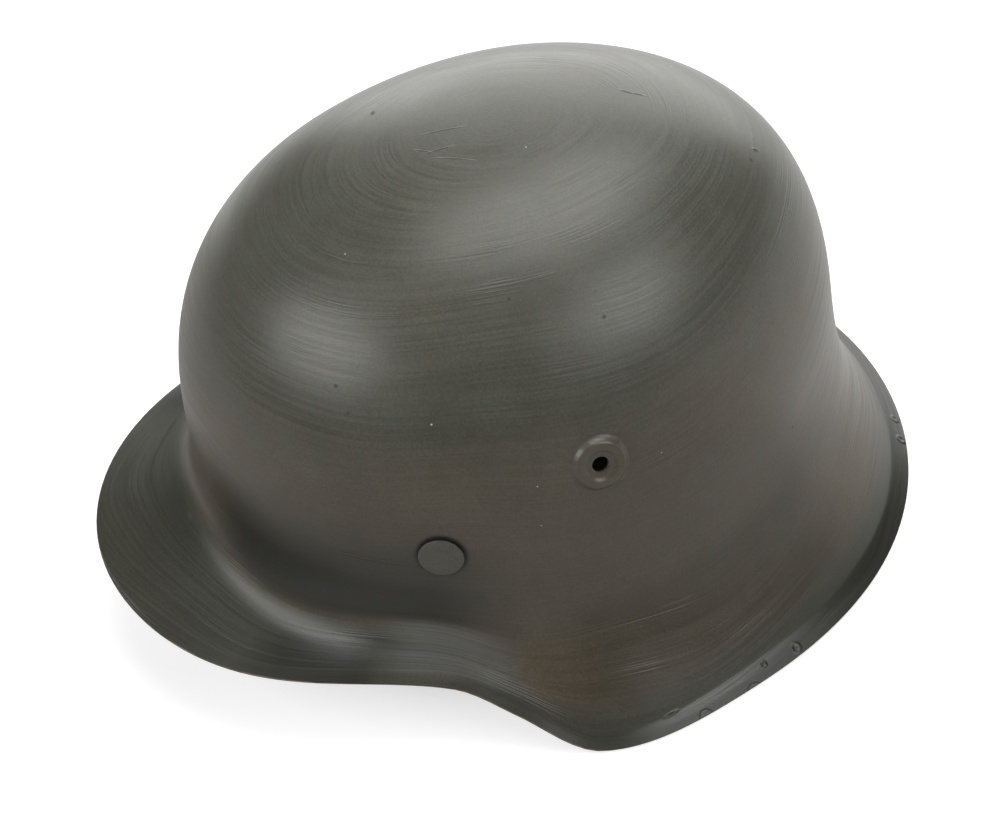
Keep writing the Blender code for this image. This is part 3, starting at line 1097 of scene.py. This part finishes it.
MARKS = {
    MarkKind.CHIP: (
        Mark((121.3, 27.3, 0.6), (2.4, 2.4, 2.6), 18),
        Mark((117.4, 45.8, 0.2), (2.6, 3.0, 2.8), 22),
    ),
    MarkKind.CRATER: (
        Mark((107.5, 63.7, 2.2), (1.4, 1.4, 1.8)),
        Mark((110.5, 51.4, 3.3), (0.8, 0.8, 1.0)),
        Mark((23.5, 133.7, 1.8), (1.4, 1.4, 1.6)),
        Mark((33.3, 132.1, 1.5), (1.4, 1.4, 1.6)),
    ),
    MarkKind.SCRATCH: (
        Mark((118.5, 16.5, 3.9), (0.5, 2.4, 0.9), 12),
        Mark((0.6, 61.2, 157.8), (0.45, 2.4, 1.2), -38),
        Mark((2.5, 64.4, 157.0), (0.45, 2.2, 1.2), -30),
        Mark((21.2, 95.0, 136.2), (0.5, 1.2, 1.6), 20),
        Mark((-4.2, 1.7, 161.2), (0.25, 5.6, 1.2), -14),
        Mark((4.1, -1.5, 161.0), (0.25, 3.5, 1.2), -8),
        Mark((10.6, 1.0, 161.0), (0.22, 4.9, 1.2), -34),
        Mark((1.9, -6.8, 160.6), (0.22, 2.5, 1.2), -43),
    ),
    # Painted highlights: along the lip, on the flange by the ear and at the visor's fold.
    MarkKind.SHEEN: (
        Mark((116.4, 31.0, 3.2), (2.0, 25.0, 2.1), 15),
        Mark((97.2, -30.0, 28.0), (7.0, 8.5, 6.0), -20),
        Mark((4.0, -107.2, 44.6), (3.2, 1.0, 1.4), 8),
    ),
    MarkKind.LIGHT_DOT: (
        Mark((74.9, -33.8, 116.9), (0.4, 0.4, 0.4)),
        Mark((25.8, -41.3, 150.5), (0.3, 0.3, 0.3)),
        Mark((15.7, 22.8, 161.1), (0.3, 0.3, 0.3)),
        Mark((90.8, 32.5, 90.2), (0.25, 0.25, 0.25)),
        Mark((90.9, -8.0, 93.2), (0.3, 0.3, 0.3)),
        Mark((93.3, -9.4, 78.8), (0.25, 0.25, 0.25)),
    ),
    MarkKind.DARK_DOT: (
        Mark((26.4, 91.6, 137.2), (1.0, 1.0, 1.0)),
        Mark((69.5, 82.4, 60.9), (0.7, 0.7, 0.7)),
        Mark((60.7, -0.3, 143.4), (0.7, 0.7, 0.7)),
        Mark((54.8, -57.1, 125.8), (0.8, 0.8, 0.8)),
        Mark((61.1, -56.1, 119.4), (0.6, 0.6, 0.6)),
        Mark((71.1, 25.7, 133.8), (0.8, 0.8, 0.8)),
        Mark((-28.9, -14.7, 156.7), (1.6, 0.9, 1.2), -15),
    ),
}


@dataclass(frozen=True)
class Wear:
    """The marks of the table as one node group.

    A chip's outline has a width as a share of its size. The depth in metres is a ring's height;
    a chip sinks and a scratch's side rises by a part of it. Dots and scratches are soot in part.
    """

    line: float = 0.16
    depth: float = 0.16 * MM
    chip_sink: float = 0.4
    scratch_rise: float = 0.6
    scratch_dark: float = 0.8
    dot_dark: float = 0.6

    def group(self) -> Tree:
        """Node group with the marks' Dark, Light and Sheen masks and their Height in metres."""
        # The Sheen mask is a painted highlight.
        names = ("Dark", "Light", "Sheen", "Height")
        tree, graph, output = node_group("wear", *names)
        place = graph.place()
        parts: dict[str, list[Socket]] = {name: [] for name in names}
        for kind, marks in MARKS.items():
            for mark in marks:
                self.put(graph, place, kind, mark, parts)
        height = graph.times(graph.fold("ADD", *parts.pop("Height")), self.depth)
        masks = {name: graph.fold("MAXIMUM", *sockets) for name, sockets in parts.items()}
        graph.join(output, Height=height, **masks)
        return tree

    def put(self, graph: Graph, place: Socket, kind: MarkKind, mark: Mark,
            parts: dict[str, list[Socket]]) -> None:
        """Add the nodes of one mark.

        Its space is moved, turned and scaled so that the mark's border is at a distance of 1.

        Args:
            graph: The group's graph.
            place: Object coordinates.
            kind: What the mark does.
            mark: Where it lies, and its size.
            parts: Lists of sockets for each output, which get the mark's.
        """
        values = {"Vector": place, "Location": tuple(v * MM for v in mark.middle),
                  "Rotation": (0.0, 0.0, np.radians(mark.turn)),
                  "Scale": tuple(v * MM for v in mark.sizes)}
        space = graph.add("Mapping", values, vector_type="TEXTURE").outputs[0]
        away = graph.vector_math("LENGTH", space).outputs["Value"]
        border = graph.math("ABSOLUTE", graph.math("SUBTRACT", away, 1.0))
        spot = graph.ramp(away, 1.0, 0.6)
        match kind:
            case MarkKind.CHIP:
                parts["Dark"].append(graph.ramp(border, self.line, 0.3 * self.line))
                parts["Height"].append(graph.times(spot, -self.chip_sink))
            case MarkKind.CRATER:
                parts["Height"].append(graph.ramp(border, 0.7, 0.0))
            case MarkKind.LIGHT_DOT:
                parts["Light"].append(spot)
            case MarkKind.DARK_DOT:
                parts["Dark"].append(graph.times(spot, self.dot_dark))
            case MarkKind.SCRATCH:
                parts["Dark"].append(graph.times(spot, self.scratch_dark))
                parts["Height"].append(graph.ramp(away, 1.6, 1.0, 0.0, self.scratch_rise))
            case MarkKind.SHEEN:
                parts["Sheen"].append(self.streaked(graph, space, away))

    def streaked(self, graph: Graph, space: Socket, away: Socket) -> Socket:
        """Mask of a patch that fades out at its border, with streaks along its own Y."""
        along = graph.vector_math("MULTIPLY", space, (9.0, 1.1, 9.0)).outputs[0]
        streaks = graph.ramp(graph.noise(along, 1.0, 4.0, 0.7), 0.36, 0.66)
        return graph.times(graph.ramp(away, 1.0, 0.35), streaks)


@dataclass(frozen=True)
class PaintEffects:
    """The node groups that every paint shares."""

    strokes: Tree
    drift: Tree
    wear: Tree


@dataclass(frozen=True)
class BrushedPaint:
    """Semi-matte field paint with brush strokes, slow changes of colour and a bare raw edge.

    The colours are linear. Tone, grain and brush lines each make the paint darker and lighter by
    a part of it, read over the span in which most of a noise's values lie. The dark colour shows
    where the piece's shading attribute asks, which is painted shade in part. A painted highlight
    lies in streaks on the lighter zone and in part on the marks of kind SHEEN. The darker marks
    and the painted shadows add to the roughness. The bare edge is broken up, in patches per
    metre. Around a rivet's head, out to its shadow's radius, the wall gets a painted shadow.
    """

    name: str = "field_paint"
    green: Triple = (0.066, 0.068, 0.053)
    brown: Triple = (0.075, 0.060, 0.039)
    dark: Triple = (0.013, 0.013, 0.009)
    # Colour of the painted highlight.
    sheen: Triple = (0.110, 0.115, 0.110)
    raw_edge: Triple = (0.20, 0.13, 0.09)
    dust: Triple = (0.45, 0.44, 0.40)
    # Sooty colour of the dark marks and specks, and of the painted shadows on and round the rivets.
    soot: Triple = (0.010, 0.009, 0.008)
    noise_span: Span = (0.3, 0.7)
    tone_swing: float = 0.08
    grain_swing: float = 0.13
    line_swing: float = 0.06
    streak_span: Span = (0.35, 0.65)
    streak_shares: Span = (0.45, 0.85)
    mark_sheen: float = 0.5
    roughness: float = 0.36
    roughness_swing: float = 0.05
    dark_roughness: float = 0.3
    grain_depth: float = 0.026 * MM
    edge_patches: float = 140.0
    shadow_radius: float = 9.2 * MM
    shadow_strength: float = 0.9

    def swing(self, graph: Graph, value: Socket, size: float, middle: float = 1.0) -> Socket:
        """Go from under to over a middle, by a size, over a noise's usual span."""
        return graph.ramp(value, *self.noise_span, middle - size, middle + size)

    def material(self, name: str, effects: PaintEffects,
                 rivets: tuple[Array, ...] = ()) -> bpy.types.Material:
        """Make the paint's material.

        Args:
            name: Name of the piece, which starts the material's name.
            effects: The shared node groups.
            rivets: Middles of the rivets in the piece's wall; without any, the piece's zone is a
                mask of its shadowed side and not of a bare edge.

        Returns:
            A node material with one Principled shader.
        """
        paint = bpy.data.materials.new(f"{name}_{self.name}")
        paint.use_nodes = True
        graph = Graph(paint.node_tree)
        looks, relief, wear = (graph.add("Group", node_tree=tree).outputs
                               for tree in (effects.drift, effects.strokes, effects.wear))
        shade, pale, cool = graph.attribute("shading_and_tint")
        warmth = graph.times(looks["Warmth"], graph.math("SUBTRACT", 1.0, cool))
        dim = graph.times(self.swing(graph, looks["Grain"], self.grain_swing),
                          self.swing(graph, relief["Lines"], self.line_swing),
                          self.swing(graph, looks["Tone"], self.tone_swing))
        tinted = graph.vector_math("SCALE", graph.mix(warmth, self.green, self.brown))
        graph.join(tinted, Scale=dim)
        # Painted shade from the shading attribute, then the painted highlight in streaks and on the
        # marks of kind SHEEN.
        streaks = graph.ramp(relief["Lines"], *self.streak_span, *self.streak_shares)
        layers = [(shade, self.dark), (graph.times(pale, streaks), self.sheen),
                  (graph.times(wear["Sheen"], self.mark_sheen), self.sheen)]
        dark = graph.fold("MAXIMUM", wear["Dark"], looks["Dark Specks"])
        light = graph.fold("MAXIMUM", wear["Light"], looks["Light Specks"])
        edge, _, _ = graph.attribute("zone")
        if rivets:
            broken = graph.ramp(graph.noise(graph.place(), self.edge_patches, 3.0), 0.35, 0.6)
            layers.append((graph.times(graph.ramp(edge, 0.75, 1.0), broken), self.raw_edge))
            # Painted shadow round the rivets' heads.
            dark = graph.fold("MAXIMUM", dark, self.rivet_shadows(graph, rivets))
        else:
            # On a rivet the zone is the painted shade on the head's side.
            dark = graph.fold("MAXIMUM", dark, edge)
        color = tinted.outputs[0]
        for mask, tint in (*layers, (dark, self.soot), (light, self.dust)):
            color = graph.mix(mask, color, tint)
        rough = self.swing(graph, relief["Lines"], self.roughness_swing, self.roughness)
        rough = graph.math("MULTIPLY_ADD", dark, self.dark_roughness, rough)
        height = graph.math("MULTIPLY_ADD", looks["Grain"], self.grain_depth, relief["Height"])
        height = graph.math("ADD", height, wear["Height"])
        bump = graph.add("Bump", {"Height": height, "Distance": 1.0, "Strength": 1.0})
        graph.join(paint.node_tree.nodes["Principled BSDF"], Base_Color=color, Roughness=rough,
                   Normal=bump.outputs[0])
        return paint

    def rivet_shadows(self, graph: Graph, rivets: tuple[Array, ...]) -> Socket:
        """Mask of the painted shadow round the rivets' heads."""
        place = graph.place()
        nodes = [graph.vector_math("DISTANCE", place, tuple(float(v) for v in middle))
                 for middle in rivets]
        closest = graph.fold("MINIMUM", *(node.outputs["Value"] for node in nodes))
        inner = 0.80 * self.shadow_radius
        return graph.ramp(closest, self.shadow_radius, inner, 0.0, self.shadow_strength)


@dataclass(frozen=True)
class SoftBox:
    """Oval soft light on a sphere round the camera's target.

    Its direction is in degrees, the azimuth from the visor by the wearer's left; its width and
    height are half the angles that it fills, and its radiance is how bright it looks.
    """

    name: str
    azimuth: float
    elevation: float
    width: float
    height: float
    radiance: float
    distance: float = 2.0


SOFT_BOXES = (
    SoftBox("white_wall", 240, 12, 34, 32, 3.1),
    SoftBox("overhead", 200, 75, 21, 24, 4.4),
    SoftBox("rear_left", 127, 37, 16, 16, 4.4),
    SoftBox("front", 8, 37, 24, 15, 4.6),
)


@dataclass
class Studio:
    """Pale floor, soft boxes and the camera at the photograph's angle.

    Angles are in radians, the azimuth from the visor by the wearer's left. The floor has half a
    size, a gap under the rim, the paper's grey, a lift to white with the distances from the
    middle at which it starts and is full, and a glow with its direction and its own distances.
    """

    azimuth: float = np.radians(78.74)
    elevation: float = np.radians(43.17)
    roll: float = np.radians(-10.35)
    distance: float = 1.143
    lens: float = 124.7
    sensor: float = 36.0
    target: Triple = (0.01696, -0.00085, 0.05594)
    room: float = 0.06
    paper: float = 0.50
    paper_roughness: float = 0.9
    lift: float = 0.68
    glow: float = 0.45
    glow_azimuth: float = np.radians(215)
    covered: Span = (0.044, 0.095)
    glow_span: Span = (0.06, 0.11)
    floor_size: float = 6.0
    floor_gap: float = 0.1 * MM

    def towards(self, azimuth: float, elevation: float) -> Array:
        """Unit vector from the target at an azimuth and elevation in radians."""
        level = np.cos(elevation)
        return np.array([np.sin(azimuth) * level, -np.cos(azimuth) * level, np.sin(elevation)])

    def camera(self) -> None:
        """Put the camera on its sphere round the target, rolled about its own axis."""
        back = self.towards(self.azimuth, self.elevation)
        level = unit(np.cross(-back, [0.0, 0.0, 1.0]))
        up = np.cross(level, -back)
        right = level * np.cos(self.roll) + up * np.sin(self.roll)
        upright = -level * np.sin(self.roll) + up * np.cos(self.roll)
        place = np.array(self.target) + back * self.distance
        data = bpy.data.cameras.new("camera")
        data.lens = self.lens
        data.sensor_width = self.sensor
        camera = bpy.data.objects.new("camera", data)
        turn = Matrix((right, upright, back)).transposed().to_4x4()
        camera.matrix_world = Matrix.Translation(Vector(place)) @ turn
        bpy.context.scene.collection.objects.link(camera)
        bpy.context.scene.camera = camera

    def floor(self) -> None:
        """A wide pale floor just under the rim, lifted to white where the camera sees it open.

        Reflections see it lit by a glow of its own behind the helmet.
        """
        sides = np.array([[-1.0, -1.0], [1.0, -1.0], [1.0, 1.0], [-1.0, 1.0]]) * self.floor_size
        corners = as_rows(sides[:, 0], sides[:, 1], -self.floor_gap)
        floor = mesh_object("floor", corners, np.array([[0, 1, 2, 3]]))
        paper = bpy.data.materials.new("pale_paper")
        paper.use_nodes = True
        graph = Graph(paper.node_tree)
        shader = paper.node_tree.nodes["Principled BSDF"]
        shader.inputs["Base Color"].default_value = (*(self.paper,) * 3, 1.0)
        shader.inputs["Roughness"].default_value = self.paper_roughness
        shader.inputs["Emission Color"].default_value = (1.0, 1.0, 1.0, 1.0)
        place = graph.place()
        away = graph.vector_math("LENGTH", place).outputs["Value"]
        open_floor = graph.ramp(away, *self.covered, 0.0, self.lift)
        towards_glow = tuple(self.towards(self.glow_azimuth, 0.0))
        behind = graph.vector_math("DOT_PRODUCT", place, towards_glow).outputs["Value"]
        glow = graph.ramp(behind, *self.glow_span, 0.0, self.glow)
        ray = graph.add("LightPath").outputs
        seen = graph.times(ray["Is Camera Ray"], open_floor)
        seen = graph.math("MULTIPLY_ADD", ray["Is Glossy Ray"], glow, seen)
        graph.join(shader, Emission_Strength=seen)
        floor.data.materials.append(paper)

    def hang(self, box: SoftBox) -> None:
        """Hang a soft box.

        A lamp of power P and area A has the radiance P / (pi A).
        """
        away = self.towards(np.radians(box.azimuth), np.radians(box.elevation))
        half_width = box.distance * np.tan(np.radians(box.width))
        half_height = box.distance * np.tan(np.radians(box.height))
        data = bpy.data.lights.new(box.name, "AREA")
        data.shape = "ELLIPSE"
        data.size = 2 * half_width
        data.size_y = 2 * half_height
        data.energy = box.radiance * np.pi * np.pi * half_width * half_height
        lamp = bpy.data.objects.new(box.name, data)
        lamp.location = np.array(self.target) + away * box.distance
        lamp.rotation_euler = Vector(-away).to_track_quat("-Z", "Y").to_euler()
        bpy.context.scene.collection.objects.link(lamp)

    def build(self) -> None:
        """Make the floor, the lights, the world and the camera."""
        self.floor()
        self.camera()
        for box in SOFT_BOXES:
            self.hang(box)
        world = bpy.data.worlds.new("room")
        world.use_nodes = True
        world.node_tree.nodes["Background"].inputs["Color"].default_value = (1.0, 1.0, 1.0, 1.0)
        world.node_tree.nodes["Background"].inputs["Strength"].default_value = self.room
        bpy.context.scene.world = world
        bpy.context.scene.view_settings.view_transform = "Standard"


def add_piece(piece: Piece, node: str, material: bpy.types.Material) -> None:
    """Dress a piece and let it stand for its node of the frame."""
    piece.data.materials.append(material)
    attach(piece, BODY)
    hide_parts(node)


def main() -> None:
    """Build the shell, the rivets and the studio."""
    logging.basicConfig(level=logging.INFO, format="%(name)s: %(message)s")
    form = PressedForm()
    effects = PaintEffects(BrushStrokes().group(), PaintDrift().group(), Wear().group())
    rivets = {side: SplitRivet(form, side) for side in Side}
    middles = tuple(rivet.frame().origin for rivet in rivets.values())
    shell_paint = BrushedPaint().material("shell", effects, middles)
    add_piece(Shell(form).build(), "shell", shell_paint)
    rivet_paint = BrushedPaint("rivet_paint", brown=(0.066, 0.062, 0.048))
    for side, rivet in rivets.items():
        name = f"rivet_{side.name.lower()}"
        add_piece(rivet.build(), name, rivet_paint.material(name, effects))
    Studio().build()


if __name__ == "__main__":
    main()
